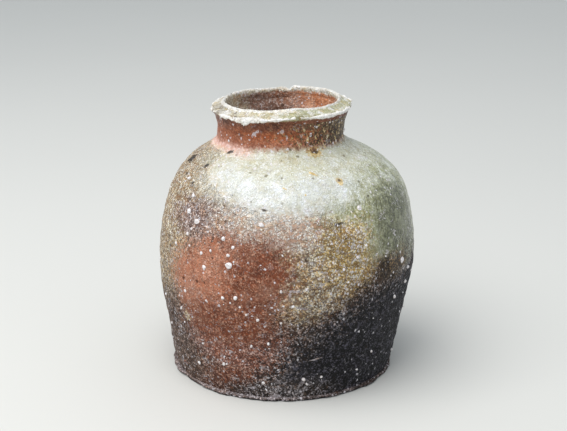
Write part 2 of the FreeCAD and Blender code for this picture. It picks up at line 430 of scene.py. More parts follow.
grit = {
    # sizes in millimetres
    "bead": 1.0,
    "sharp": 0.85,
    "vein": 4.2,
    "clump": 2.6,
    "fine": 1.3,
    "patch": 5.5,
    "tint": 3.6,
    "cloud": 14.0,
    "drift": 17.0,
    "driftBy": 5.5,
    "speck": 1.35,
    "pit": 3.2,
    "shaking": 1.7,  # how far the cells are pushed out of round
    # where each shape starts and is full, as values of its noise or of the way to its cell's middle
    "beadEdge": (0.56, 0.22),
    "beadChance": (0.35, 0.95, 0.0, 0.8),
    "gapEdge": (0.36, 0.60),
    "gapChance": (0.45, 1.05),
    "sharpBead": (0.52, 0.61),
    "sharpGap": (0.46, 0.38),
    "speckEdge": (0.10, -0.04),
    "veinEdge": (0.020, 0.006),
    "veinStretch": (0.52, 0.60),
    "pitEdge": (0.06, -0.02),
    "pitShare": 0.22,
    # how much each lifts the surface
    "fineHeight": 0.8,
    "beadHeight": 0.7,
    "gapHeight": -0.5,
    "pitHeight": -0.8,
}


class Nodes:  # adds and wires the nodes of one tree
    def __init__(self, tree):
        self.tree = tree

    def add(self, kind, settings=None, **inputs):
        node = self.tree.nodes.new(kind)
        for name, value in (settings or {}).items():
            setattr(node, name, value)
        for name, value in inputs.items():
            self.feed(node.inputs[name], value)
        return node

    def feed(self, socket, value):
        if isinstance(value, bpy.types.NodeSocket):
            self.tree.links.new(value, socket)
        elif isinstance(value, tuple) and socket.type == "RGBA" and len(value) == 3:
            socket.default_value = (*value, 1)
        else:
            socket.default_value = value

    def math(self, operation, *values):
        node = self.tree.nodes.new("ShaderNodeMath")
        node.operation = operation
        for socket, value in zip(node.inputs, values):
            self.feed(socket, value)
        return node.outputs[0]

    def times(self, first, *others):
        for other in others:
            first = self.math("MULTIPLY", first, other)
        return first

    def vector(self, operation, *values):
        node = self.tree.nodes.new("ShaderNodeVectorMath")
        node.operation = operation
        for socket, value in zip(node.inputs, values):
            self.feed(socket, value)
        return node.outputs["Value" if operation in ("LENGTH", "DOT_PRODUCT") else "Vector"]

    def scaled(self, vector, scale):
        node = self.tree.nodes.new("ShaderNodeVectorMath")
        node.operation = "SCALE"
        self.feed(node.inputs[0], vector)
        self.feed(node.inputs["Scale"], scale)
        return node.outputs["Vector"]

    def ramp(self, value, low, high, start=0.0, end=1.0):
        node = self.tree.nodes.new("ShaderNodeMapRange")
        node.interpolation_type = "SMOOTHSTEP"
        ends = (("Value", value), ("From Min", low), ("From Max", high), ("To Min", start), ("To Max", end))
        for name, number in ends:
            self.feed(node.inputs[name], number)
        return node.outputs["Result"]

    def mix(self, share, under, over, blend="MIX"):
        node = self.tree.nodes.new("ShaderNodeMix")
        node.data_type = "RGBA"
        node.blend_type = blend
        self.feed(node.inputs["Factor"], share)
        self.feed(node.inputs[6], under)
        self.feed(node.inputs[7], over)
        return node.outputs[2]

    def noise(self, vector, size, detail=2.0, roughness=0.5, output="Fac"):
        node = self.tree.nodes.new("ShaderNodeTexNoise")
        self.feed(node.inputs["Vector"], vector)
        node.inputs["Scale"].default_value = 1 / size
        node.inputs["Detail"].default_value = detail
        node.inputs["Roughness"].default_value = roughness
        return node.outputs[output]

    def cells(self, vector, size):
        node = self.tree.nodes.new("ShaderNodeTexVoronoi")
        self.feed(node.inputs["Vector"], vector)
        node.inputs["Scale"].default_value = 1 / size
        return node.outputs

    def split(self, colour):
        node = self.tree.nodes.new("ShaderNodeSeparateColor")
        self.feed(node.inputs[0], colour)
        return node.outputs

    def group(self, tree, **inputs):
        node = self.tree.nodes.new("ShaderNodeGroup")
        node.node_tree = tree
        for name, value in inputs.items():
            self.feed(node.inputs[name], value)
        return node.outputs


def newGroup(name, inputs, outputs):
    group = bpy.data.node_groups.new(name, "ShaderNodeTree")
    for socketName, socketType in inputs.items():
        group.interface.new_socket(socketName, in_out="INPUT", socket_type="NodeSocket" + socketType)
    for socketName, socketType in outputs.items():
        group.interface.new_socket(socketName, in_out="OUTPUT", socket_type="NodeSocket" + socketType)
    enter = group.nodes.new("NodeGroupInput")
    leave = group.nodes.new("NodeGroupOutput")
    return group, Nodes(group), enter.outputs, leave.inputs


middleGrey = (0.5, 0.5, 0.5)


# Place on the jar in millimetres, and the same place pushed about so that no edge runs smooth.
def makeJarPlace():
    group, nodes, given, out = newGroup("jarPlace", {}, {"Place": "Vector", "Drifted": "Vector"})
    objectPlace = nodes.add("ShaderNodeTexCoord").outputs["Object"]
    inMillimetres = nodes.scaled(objectPlace, 1 / mm)
    drift = nodes.noise(inMillimetres, grit["drift"], 5.0, 0.68, "Color")
    push = nodes.scaled(nodes.vector("SUBTRACT", drift, middleGrey), 2 * grit["driftBy"])
    nodes.feed(out["Place"], inMillimetres)
    nodes.feed(out["Drifted"], nodes.vector("ADD", inMillimetres, push))
    return group


# Granules of the sandy surface: a value that breaks edges up, pale beads, dark gaps, white specks,
# pits, thin veins and the slower drifts of shade and tint.
def makeGrit():
    group, nodes, given, out = newGroup(
        "sandGrit", {"Place": "Vector"},
        {"Grain": "Float", "Bead": "Float", "Gap": "Float", "SpeckChance": "Float", "SpeckShape": "Float",
         "Patch": "Float", "Cloud": "Float", "Tint": "Float", "Pit": "Float", "Vein": "Float",
         "Height": "Float"})
    spot = given["Place"]
    fineColour = nodes.noise(spot, grit["fine"], 4.0, 0.7, "Color")
    fine = nodes.split(fineColour)
    shake = nodes.scaled(nodes.vector("SUBTRACT", fineColour, middleGrey), grit["shaking"])
    shaken = nodes.vector("ADD", spot, shake)
    beads = nodes.cells(shaken, grit["bead"])
    chance = nodes.split(beads["Color"])
    patch = nodes.noise(spot, grit["patch"], 3.0, 0.6)
    cloud = nodes.noise(spot, grit["cloud"], 3.0, 0.55)
    tint = nodes.noise(nodes.vector("ADD", spot, (7.0, 3.0, 11.0)), grit["tint"], 3.0, 0.65)
    beadShape = nodes.ramp(beads["Distance"], *grit["beadEdge"])
    clumps = nodes.noise(nodes.vector("ADD", spot, (19.0, 5.0, 2.0)), grit["clump"], 2.0, 0.6)
    lean = nodes.math("MULTIPLY_ADD", clumps, 0.5, -0.25)
    sharp = nodes.split(nodes.noise(spot, grit["sharp"], 2.0, 0.6, "Color"))
    sharpBead = nodes.math("ADD", sharp[1], lean)
    sharpGap = nodes.math("ADD", sharp[0], lean)
    bead = nodes.times(beadShape, nodes.ramp(chance[0], *grit["beadChance"]))
    bead = nodes.math("MAXIMUM", bead, nodes.ramp(sharpBead, *grit["sharpBead"]))
    gapShape = nodes.ramp(beads["Distance"], *grit["gapEdge"])
    gapChance = nodes.ramp(nodes.math("ADD", chance[1], patch), *grit["gapChance"])
    gap = nodes.times(gapShape, gapChance)
    gap = nodes.math("MAXIMUM", gap, nodes.ramp(sharpGap, *grit["sharpGap"]))
    specks = nodes.cells(nodes.vector("ADD", shaken, (31.0, 17.0, 5.0)), grit["speck"])
    speckChance = nodes.split(specks["Color"])
    size = nodes.math("MULTIPLY_ADD", speckChance[1], 0.30, 0.10)
    speckShape = nodes.ramp(nodes.math("SUBTRACT", specks["Distance"], size), *grit["speckEdge"])
    rarer = nodes.math("MULTIPLY_ADD", patch, -1.2, nodes.math("ADD", speckChance[0], 0.6))
    grain = nodes.math("MULTIPLY_ADD", nodes.math("SUBTRACT", chance[2], 0.5), 0.6,
                       nodes.math("SUBTRACT", fine[1], 0.5))
    grain = nodes.math("MULTIPLY_ADD", nodes.math("SUBTRACT", sharp[2], 0.5), 1.4, grain)
    wander = nodes.split(nodes.noise(shaken, grit["vein"], 2.0, 0.55, "Color"))
    vein = nodes.ramp(nodes.math("ABSOLUTE", nodes.math("SUBTRACT", wander[0], 0.5)), *grit["veinEdge"])
    vein = nodes.times(vein, nodes.ramp(wander[1], *grit["veinStretch"]))
    pits = nodes.cells(nodes.vector("ADD", shaken, (3.0, 41.0, 23.0)), grit["pit"])
    pitChance = nodes.split(pits["Color"])
    pitSize = nodes.math("MULTIPLY_ADD", pitChance[1], 0.16, 0.06)
    pit = nodes.ramp(nodes.math("SUBTRACT", pits["Distance"], pitSize), *grit["pitEdge"])
    pit = nodes.times(pit, nodes.math("LESS_THAN", pitChance[0], grit["pitShare"]))
    beadHeight = nodes.times(beadShape, grit["beadHeight"])
    height = nodes.math("MULTIPLY_ADD", fine[0], grit["fineHeight"], beadHeight)
    height = nodes.math("MULTIPLY_ADD", gap, grit["gapHeight"], height)
    height = nodes.math("MULTIPLY_ADD", pit, grit["pitHeight"], height)
    results = {"Grain": grain, "Bead": bead, "Gap": gap, "SpeckChance": rarer, "SpeckShape": speckShape,
               "Patch": patch, "Cloud": cloud, "Tint": tint, "Pit": pit, "Vein": vein, "Height": height}
    for name, value in results.items():
        nodes.feed(out[name], value)
    return group


# A patch of one firing colour: 1 inside, with a soft edge that the grain breaks up.
def makeFiredZone():
    group, nodes, given, out = newGroup(
        "firedZone",
        {"Place": "Vector", "Middle": "Vector", "Reach": "Vector", "Climb": "Vector", "Edge": "Float",
         "Grain": "Float", "Ragged": "Float"},
        {"Mask": "Float"})
    off = nodes.vector("SUBTRACT", given["Place"], given["Middle"])
    climb = nodes.vector("DOT_PRODUCT", off, given["Climb"])
    drop = nodes.add("ShaderNodeCombineXYZ", Z=climb).outputs[0]
    off = nodes.vector("DIVIDE", nodes.vector("SUBTRACT", off, drop), given["Reach"])
    inside = nodes.math("SUBTRACT", 1.0, nodes.vector("LENGTH", off))
    broken = nodes.math("MULTIPLY_ADD", given["Grain"], given["Ragged"], inside)
    lowEdge = nodes.times(given["Edge"], -1.0)
    nodes.feed(out["Mask"], nodes.ramp(broken, lowEdge, given["Edge"]))
    return group


jarPlace = makeJarPlace()
sandGrit = makeGrit()
firedZone = makeFiredZone()


# The mask of a zone given by the turn and height of its middle.
def zoneMask(nodes, spot, grain, middle, reach, climb, edge, ragged, radius=None):
    turn = math.radians(middle[0])
    around, tall = reach
    return nodes.group(
        firedZone, Place=spot, Middle=tuple(place(*middle, radius)), Reach=(around, around, tall),
        Climb=(climb * math.cos(turn), climb * math.sin(turn), 0.0), Edge=edge, Grain=grain,
        Ragged=ragged)["Mask"]


# All the firing colours and marks over one another, for any piece of the jar.
def makeFiring():
    group, nodes, given, out = newGroup(
        "jarFiring", {"Place": "Vector", "Drifted": "Vector", "Grain": "Float"},
        {"Dark": "Color", "Body": "Color", "Light": "Color", "Traits": "Color"})
    dark, body, light = [(*shade, 1) for shade in tones["umber"]]
    traits = (0.22, 0.05, 1.0, 1)
    for name, middle, reach, climb, edge, ragged, specks, glass, sand in firing:
        mask = zoneMask(nodes, given["Drifted"], given["Grain"], middle, reach, climb, edge, ragged)
        dark = nodes.mix(mask, dark, tones[name][0])
        body = nodes.mix(mask, body, tones[name][1])
        light = nodes.mix(mask, light, tones[name][2])
        traits = nodes.mix(mask, traits, (specks, glass, sand))
    shaken = nodes.vector("ADD", nodes.scaled(given["Drifted"], 0.15), nodes.scaled(given["Place"], 0.85))
    for name, middle, reach, climb in marks:
        mask = zoneMask(nodes, shaken, given["Grain"], middle, reach, climb, 0.3, 0.8)
        mask = nodes.times(mask, 0.9)
        dark = nodes.mix(mask, dark, tones[name][0])
        body = nodes.mix(mask, body, tones[name][1])
        light = nodes.mix(mask, light, tones[name][1])
    for name, value in (("Dark", dark), ("Body", body), ("Light", light), ("Traits", traits)):
        nodes.feed(out[name], value)
    return group


paint = {
    # range of the noise, then the share it gives
    "patches": (0.52, 0.30, 0.0, 0.6),
    "clouds": (0.5, 0.7, 0.0, 0.25),
    "warmTint": (0.48, 0.66),
    "paleTint": (0.44, 0.30, 0.0, 0.5),
    # how strongly each shows
    "gap": 0.95,
    "bead": 0.75,
    "leastBead": 0.1,
    "pit": 0.8,
    "speck": 0.85,
    "veinPerSpeck": 3.5,
    "mostVein": 0.7,
    # the sand's roughness and what the glass, the beads and the grain add to it
    "roughness": 0.72,
    "glassRoughness": -0.42,
    "beadRoughness": -0.14,
    "grainRoughness": 0.1,
    "coat": 0.5,
    "warmth": (1.06, 0.84, 0.62),
    "chalk": tone(232, 226, 230),
    "pitShade": tone(62, 46, 34),
}


# Paints three shades with the grit: beads, gaps, clouds, specks and veins, and says how shiny it is.
def makeClayPaint():
    group, nodes, given, out = newGroup(
        "clayPaint",
        {"Dark": "Color", "Body": "Color", "Light": "Color", "Traits": "Color", "Place": "Vector"},
        {"Color": "Color", "Roughness": "Float", "Coat": "Float"})
    grains = nodes.group(sandGrit, Place=given["Place"])
    specks, glass, sand = nodes.split(given["Traits"])[:3]
    shade = nodes.ramp(grains["Patch"], *paint["patches"])
    colour = nodes.mix(shade, given["Body"], given["Dark"])
    pale = nodes.ramp(grains["Cloud"], *paint["clouds"])
    colour = nodes.mix(pale, colour, given["Light"])
    warmer = nodes.mix(1.0, colour, paint["warmth"], "MULTIPLY")
    notGlass = nodes.math("MULTIPLY_ADD", glass, -0.8, 1.0)
    warmShare = nodes.times(sand, notGlass, nodes.ramp(grains["Tint"], *paint["warmTint"]))
    colour = nodes.mix(warmShare, colour, warmer)
    paler = nodes.ramp(grains["Tint"], *paint["paleTint"])
    colour = nodes.mix(nodes.times(paler, glass), colour, given["Light"])
    bead = nodes.math("MULTIPLY_ADD", sand, paint["bead"], paint["leastBead"])
    colour = nodes.mix(nodes.times(bead, grains["Bead"]), colour, given["Light"])
    gap = nodes.times(sand, paint["gap"], grains["Gap"])
    colour = nodes.mix(gap, colour, given["Dark"])
    pitShade = nodes.mix(0.55, given["Dark"], paint["pitShade"])
    colour = nodes.mix(nodes.times(grains["Pit"], paint["pit"]), colour, pitShade)
    chosen = nodes.math("LESS_THAN", grains["SpeckChance"], specks)
    speck = nodes.times(chosen, grains["SpeckShape"], paint["speck"])
    colour = nodes.mix(speck, colour, paint["chalk"])
    veins = nodes.math("MINIMUM", nodes.times(specks, paint["veinPerSpeck"]), paint["mostVein"])
    colour = nodes.mix(nodes.times(veins, grains["Vein"]), colour, paint["chalk"])
    rough = nodes.math("MULTIPLY_ADD", glass, paint["glassRoughness"], paint["roughness"])
    rough = nodes.math("MULTIPLY_ADD", grains["Bead"], paint["beadRoughness"], rough)
    rough = nodes.math("MULTIPLY_ADD", grains["Grain"], paint["grainRoughness"], rough)
    nodes.feed(out["Color"], colour)
    nodes.feed(out["Roughness"], rough)
    nodes.feed(out["Coat"], nodes.times(glass, paint["coat"]))
    return group


jarFiring = makeFiring()
clayPaint = makeClayPaint()


def newMaterial(name, specular, coatRoughness=0.12):
    material = bpy.data.materials.new(name)
    material.use_nodes = True
    shader = material.node_tree.nodes["Principled BSDF"].inputs
    shader["Roughness"].default_value = 0.8
    shader["Specular IOR Level"].default_value = specular
    shader["Coat Roughness"].default_value = coatRoughness
    return material, Nodes(material.node_tree), shader


# The height band of the jar that a colour holds, broken up by the grain.
def heightBand(nodes, spot, low, high, soft, grain, ragged):
    z = nodes.add("ShaderNodeSeparateXYZ", Vector=spot).outputs["Z"]
    broken = nodes.math("MULTIPLY_ADD", grain, ragged, z)
    rise = nodes.ramp(broken, low - soft, low + soft)
    fall = nodes.ramp(broken, high + soft, high - soft)
    return nodes.times(rise, fall)


# Starts a clay material: its place on the jar and its grit.
def startClay(name, specular=0.4):
    material, nodes, shader = newMaterial(name, specular)
    spot = nodes.group(jarPlace)
    grains = nodes.group(sandGrit, Place=spot["Place"])
    return material, nodes, shader, spot, grains


# Ends a clay material: paint, shine and relief.
def endClay(nodes, shader, spot, grains, shades, traits, relief, strength=1.0, share=1.0):
    dark, body, light = shades
    painted = nodes.group(clayPaint, Dark=dark, Body=body, Light=light, Traits=traits, Place=spot["Place"])
    nodes.feed(shader["Base Color"], painted["Color"])
    nodes.feed(shader["Roughness"], painted["Roughness"])
    nodes.feed(shader["Coat Weight"], painted["Coat"])
    height = nodes.times(grains["Height"], share)
    bump = nodes.add("ShaderNodeBump", Height=height, Distance=relief * mm, Strength=strength)
    nodes.feed(shader["Normal"], bump.outputs["Normal"])


def mixShades(nodes, mask, under, name):
    return [nodes.mix(mask, shade, tones[name][index]) for index, shade in enumerate(under)]


# The firing's three shades at each place on the jar, and its traits.
def firedShades(nodes, spot, grain):
    fired = nodes.group(jarFiring, Place=spot["Place"], Drifted=spot["Drifted"], Grain=grain)
    return [fired["Dark"], fired["Body"], fired["Light"]], fired["Traits"]


def plainShades(name):
    return [(*shade, 1) for shade in tones[name]]


def makeJarClay():
    material, nodes, shader, spot, grains = startClay("firedClay", 0.25)
    shades, traits = firedShades(nodes, spot, grains["Grain"])
    sand = nodes.split(traits)[2]
    share = nodes.math("MULTIPLY_ADD", sand, 0.7, 0.3)
    endClay(nodes, shader, spot, grains, shades, traits, 0.85, 1.0, share)
    return material


collar = {  # heights from the neck's foot
    "above": 40,  # well over the collar's top
    "start": 3.2,
    "fillet": 6.5,
    "salmonShare": 0.12,
    # the band under the rim's lip that holds painted shadow: from this far below the collar's top, and how
    # strongly it shows
    "underRim": 3.4,  # below the collar's top
    "underRimShadowShare": 0.85,
    "right": ((80, 8), (27, 40)),  # turn and height, reach
    # a patch on the neck's left darkened as painted shade, where the lamp falls most, and how strongly
    "left": ((-50, 5), (17, 8)),
    "leftShare": 0.4,
    "blotShare": 0.75,
    "traits": (0.11, 0.25, 0.42),
    "relief": 0.25,
}
collarBlots = [  # turn and height, reach, climb
    ((-24, 110), (1.3, 0.7), 0.7), ((-21, 111.4), (0.7, 0.6), 0.5), ((-38, 107.4), (0.5, 0.7), 0),
    ((1, 111.8), (0.8, 0.8), 0), ((-52, 106.5), (0.6, 0.4), 0), ((5, 108.4), (0.4, 0.9), 0.2),
    ((-40, 108.6), (0.4, 0.4), 0),
]


def makeCollarClay():
    material, nodes, shader, spot, grains = startClay("collarClay")
    grain = grains["Grain"]
    shades, traits = firedShades(nodes, spot, grain)
    foot = jar["neckFoot"]
    above = foot + collar["above"]

    def patchOf(middle, reach, edge, ragged):
        turn, height = middle
        return zoneMask(nodes, spot["Drifted"], grain, (turn, foot + height), reach, 0, edge, ragged, 27)

    neck = heightBand(nodes, spot["Place"], foot + collar["start"], above, 1.8, grain, 1.8)
    low = heightBand(nodes, spot["Place"], 0, foot + collar["fillet"], 2.4, grain, 1.5)
    # A band just under the rim's lip, where the painted shadow under the lip goes.
    under = heightBand(nodes, spot["Place"], jar["collarTop"] - collar["underRim"], above, 2.6, grain, 1.2)
    right = patchOf(*collar["right"], 0.4, 0.9)
    left = patchOf(*collar["left"], 0.6, 0.8)
    shades = mixShades(nodes, neck, shades, "collar")
    shades = mixShades(nodes, nodes.times(low, neck, collar["salmonShare"]), shades, "salmon")
    # Painted shadow under the rim's lip, in dark brown.
    shades = mixShades(nodes, nodes.times(under, collar["underRimShadowShare"]), shades, "ember")
    # Painted shade: darkens the neck's left, where the lamp falls most, with the dark brown.
    shades = mixShades(nodes, nodes.times(left, neck, collar["leftShare"]), shades, "ember")
    shades = mixShades(nodes, nodes.times(right, neck), shades, "brownBlack")
    for middle, reach, climb in collarBlots:
        blot = zoneMask(nodes, spot["Place"], grain, middle, reach, climb, 0.5, 1.5, 27.0)
        shades = mixShades(nodes, nodes.times(blot, collar["blotShare"]), shades, "lilac")
    slanted = nodes.add("ShaderNodeMapping", {"vector_type": "POINT"}, Vector=spot["Place"],
                        Rotation=(0.0, 0.5, 0.0)).outputs[0]
    drawn = nodes.vector("MULTIPLY", slanted, (1.0, 1.0, 0.25))
    streaks = nodes.ramp(nodes.noise(drawn, 1.1, 3.0, 0.7), 0.54, 0.64)
    shades = mixShades(nodes, nodes.times(streaks, right), shades, "gold")
    traits = nodes.mix(neck, traits, collar["traits"])
    endClay(nodes, shader, spot, grains, shades, traits, collar["relief"], 0.7)
    return material


hollowZones = [  # tone, turn and height, reach
    ("soot", (-158, 104), (18, 24)),
    ("soot", (-120, 98), (18, 12)),
    ("rimAsh", (-104, 114), (14, 13)),
]


# The colours inside the mouth, shared by the rim's inner side and the hollow.
def hollowShades(nodes, spot, grain):
    shades = plainShades("hollow")
    for name, middle, reach in hollowZones:
        mask = zoneMask(nodes, spot, grain, middle, reach, 0, 0.5, 0.5, 24)
        shades = mixShades(nodes, mask, shades, name)
    return shades


# The rim band's shape: its crest, its unevenness and its chip.
rim = {
    "step": 0.42,
    "ridge": 0.8,  # from the mouth out to the crest
    "waver": 0.22,
    "crumble": 0.12,
    "notch": (172, 4.5, 1.3),  # turn, half-width in degrees and depth of the chip at the back
}


rimLook = {
    "green": ((48, 118), (26, 26), 0.7),  # turn and height, reach, share
    "burnt": ((-68, 117), (9, 9), 0.5),
    "brown": (3.2, 0.54, 0.70, 0.0, 0.6),  # size of the noise, its range, the share it gives
    "white": (3.6, 0.50, 0.62, 0.0, 0.75),
    # how strongly the rim's underside is darkened as painted shadow under the ash bead
    "underRimShadowShare": 0.8,
    "crestShare": 0.9,
    "traits": (0.1, 0.35, 0.45, 1),
    "relief": 0.3,
}


def makeRimClay():
    material, nodes, shader, spot, grains = startClay("rimClay")
    grain = grains["Grain"]
    shades = plainShades("rimAsh")
    middle, reach, share = rimLook["green"]
    green = zoneMask(nodes, spot["Drifted"], grain, middle, reach, 0, 0.5, 0.6, 30)
    shades = mixShades(nodes, nodes.times(green, share), shades, "celadon")
    middle, reach, share = rimLook["burnt"]
    burnt = zoneMask(nodes, spot["Drifted"], grain, middle, reach, 0, 0.5, 1.4, 29)
    shades = mixShades(nodes, nodes.times(burnt, share), shades, "smoke")
    size, *stretch = rimLook["brown"]
    brown = nodes.ramp(nodes.noise(spot["Place"], size, 2.0, 0.6), *stretch)
    shades = mixShades(nodes, brown, shades, "gold")
    size, *stretch = rimLook["white"]
    white = nodes.ramp(nodes.noise(spot["Drifted"], size, 3.0, 0.65), *stretch)
    shades = mixShades(nodes, white, shades, "crustWhite")
    slope = (math.tan(math.radians(outline["rimTilt"])), 0.0, 0.0)
    tilt = nodes.vector("DOT_PRODUCT", spot["Place"], slope)
    tilted = nodes.add("ShaderNodeCombineXYZ", Z=tilt).outputs[0]
    level = nodes.vector("SUBTRACT", spot["Place"], tilted)
    # The rim's underside below the ash bead takes the neck's colour, then a painted shadow under the bead
    # in dark brown.
    under = heightBand(nodes, level, 0, jar["beadHeight"] - 0.6, 0.5, grain, 0.6)
    shades = mixShades(nodes, under, shades, "collar")
    shades = mixShades(nodes, nodes.times(under, rimLook["underRimShadowShare"]), shades, "ember")
    flat = nodes.vector("MULTIPLY", spot["Place"], (1.0, 1.0, 0.0))
    out = nodes.math("MULTIPLY_ADD", grain, 0.5, nodes.vector("LENGTH", flat))
    mouth = innerCurve[-1, 0]
    offCrest = nodes.math("ABSOLUTE", nodes.math("SUBTRACT", out, mouth + rim["ridge"]))
    crest = nodes.ramp(offCrest, 1.1, 0.5)
    shades = mixShades(nodes, nodes.times(crest, rimLook["crestShare"]), shades, "crustWhite")
    z = nodes.add("ShaderNodeSeparateXYZ", Vector=level).outputs["Z"]
    below = nodes.ramp(nodes.math("MULTIPLY_ADD", grain, 1.2, z), jar["top"] - 1.5, jar["top"] - 2.6)
    inside = nodes.times(nodes.ramp(out, mouth + 0.5, mouth + 0.1), below)
    inner = hollowShades(nodes, spot["Drifted"], grain)
    shades = [nodes.mix(inside, shade, inner[index]) for index, shade in enumerate(shades)]
    endClay(nodes, shader, spot, grains, shades, rimLook["traits"], rimLook["relief"])
    return material


deepLow, deepHigh = -50, 86  # the hollow is darker between these heights


def makeHollowClay():
    material, nodes, shader, spot, grains = startClay("hollowClay")
    shades = hollowShades(nodes, spot["Drifted"], grains["Grain"])
    deep = heightBand(nodes, spot["Place"], deepLow, deepHigh, 12, grains["Grain"], 9)
    shades = mixShades(nodes, nodes.times(deep, 0.6), shades, "umber")
    endClay(nodes, shader, spot, grains, shades, (0.16, 0.05, 0.5, 1), 0.25)
    return material


footLook = {
    "umberShare": 0.35,
    # a painted highlight along the foot's lip: from and to this height, the patch round the jar it keeps
    # to, and how strongly it shows
    "crest": (1.1, 4),  # from and to this height
    "lipHighlightZone": ((-34, 2), (42, 20)),
    "crestShare": 0.4,
    # top of the painted shadow, a near-black band under the foot's lip
    "shadowTop": 0.7,
    "traits": (0.2, 0.0, 1.0, 1),
    "relief": 0.4,
}


def makeFootClay():
    material, nodes, shader, spot, grains = startClay("footClay", 0.3)
    grain = grains["Grain"]
    shades = firedShades(nodes, spot, grain)[0]
    shades = mixShades(nodes, footLook["umberShare"], shades, "umber")
    # Painted highlight: a thin pale lilac line along the crest of the foot's lip, at the front left.
    crest = heightBand(nodes, spot["Place"], *footLook["crest"], 0.4, grain, 1.6)
    zone = zoneMask(nodes, spot["Drifted"], grain, *footLook["lipHighlightZone"], 0, 0.5, 0.6)
    shades = mixShades(nodes, nodes.times(crest, zone, footLook["crestShare"]), shades, "lilac")
    # Painted shadow: a near-black band along the bottom of the foot, under its lip.
    under = heightBand(nodes, spot["Place"], -9, footLook["shadowTop"], 0.4, grain, 0.5)
    shades = mixShades(nodes, under, shades, "charcoal")
    endClay(nodes, shader, spot, grains, shades, footLook["traits"], footLook["relief"])
    return material


glazeLook = {
    # how much the noise is drawn out downwards, its size, its range and the share that gives
    "runs": (0.2, 2.2, 3.0, 0.65, (0.50, 0.70, 0.0, 0.65)),
    "pools": (0.6, 7.0, 3.0, 0.6, (0.48, 0.32, 0.0, 0.45)),
    "palePools": (0.54, 0.68, 0.0, 0.8),
    "threads": (0.16, 1.3, 2.0, 0.6, (0.50, 0.38, 0.0, 0.7)),
    "threadGlass": (0.62, 0.8),
    "veinShare": 0.5,
    "relief": 0.3,
}


# Noise drawn out downwards, and the share that its range gives.
def drawnNoise(nodes, spot, drawn, size, detail, roughness, stretch):
    noise = nodes.noise(nodes.vector("MULTIPLY", spot, (1.0, 1.0, drawn)), size, detail, roughness)
    return noise, nodes.ramp(noise, *stretch)


def makeGlaze():
    material, nodes, shader, spot, grains = startClay("ashGlaze", 0.5)
    (dark, body, light), traits = firedShades(nodes, spot, grains["Grain"])
    runs = drawnNoise(nodes, spot["Drifted"], *glazeLook["runs"])[1]
    pools, darkPools = drawnNoise(nodes, spot["Drifted"], *glazeLook["pools"])
    threads = drawnNoise(nodes, spot["Drifted"], *glazeLook["threads"])[1]
    glass = nodes.split(traits)[1]
    body = nodes.mix(runs, body, light)
    threads = nodes.times(threads, nodes.ramp(glass, *glazeLook["threadGlass"]))
    body = nodes.mix(threads, body, dark)
    body = nodes.mix(darkPools, body, dark)
    body = nodes.mix(nodes.ramp(pools, *glazeLook["palePools"]), body, light)
    body = nodes.mix(nodes.times(grains["Vein"], glazeLook["veinShare"]), body, tones["gold"][0])
    endClay(nodes, shader, spot, grains, (dark, body, light), traits, glazeLook["relief"], 0.7)
    return material


def makeAshCrust():
    material, nodes, shader, spot, grains = startClay("ashCrust")
    endClay(nodes, shader, spot, grains, plainShades("crustWhite"), (0.2, 0.3, 0.35, 1), 0.2)
    return material


def makeFeldspar():
    material, nodes, shader = newMaterial("feldspar", 0.5)
    spot = nodes.group(jarPlace)
    cloud = nodes.noise(spot["Place"], 0.7, 3.0, 0.6)
    colour = nodes.mix(nodes.ramp(cloud, 0.35, 0.7), tone(206, 196, 192), tone(250, 248, 250))
    nodes.feed(shader["Base Color"], colour)
    nodes.feed(shader["Roughness"], nodes.math("MULTIPLY_ADD", cloud, 0.4, 0.3))
    bump = nodes.add("ShaderNodeBump", Height=cloud, Distance=0.12 * mm, Strength=0.8)
    nodes.feed(shader["Normal"], bump.outputs["Normal"])
    return material


firedClay = makeJarClay()
collarClay = makeCollarClay()
rimClay = makeRimClay()
hollowClay = makeHollowClay()
footClay = makeFootClay()
ashGlaze = makeGlaze()
ashCrust = makeAshCrust()
feldspar = makeFeldspar()
print("materials made")


slabSeam = (jar["lipTop"], jar["slabTop"])
collarSeam = (jar["collarTop"], innerCurve[-1, 1])
seams = {
    "lower_wall": (slabSeam, seamAt(jar["lowerSeam"])),
    "belly_wall": (seamAt(jar["lowerSeam"]), seamAt(jar["bellySeam"])),
    "upper_wall": (seamAt(jar["bellySeam"]), seamAt(jar["upperSeam"])),
    "shoulder_wall": (seamAt(jar["upperSeam"]), seamAt(jar["neckFoot"])),
    "neck_collar": (seamAt(jar["neckFoot"]), collarSeam),
}


def pieceName(node):
    first, *rest = node.split("_")
    return first + "".join(word.capitalize() for word in rest)


def handIn(piece, node):
    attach(piece, "root")
    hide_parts(node)


for node, (low, high) in seams.items():
    outside = collarClay if node == "neck_collar" else firedClay
    handIn(ringPiece(pieceName(node), low, high, outside, hollowClay), node)
print("wall rings made")


# The slab: flat underneath, with a squeezed-out lip that is uneven and nicked at the front.
slab = {
    "lipOut": 1.1,
    "lipWaver": 1.0,
    "underRows": 34,
    "topRows": 20,
    "lipRows": 9,
    "nick": (-1.5, 2.2, 1.5),  # turn, half-width in degrees and depth
    "axisGap": 0.6,  # radius of the innermost row
}


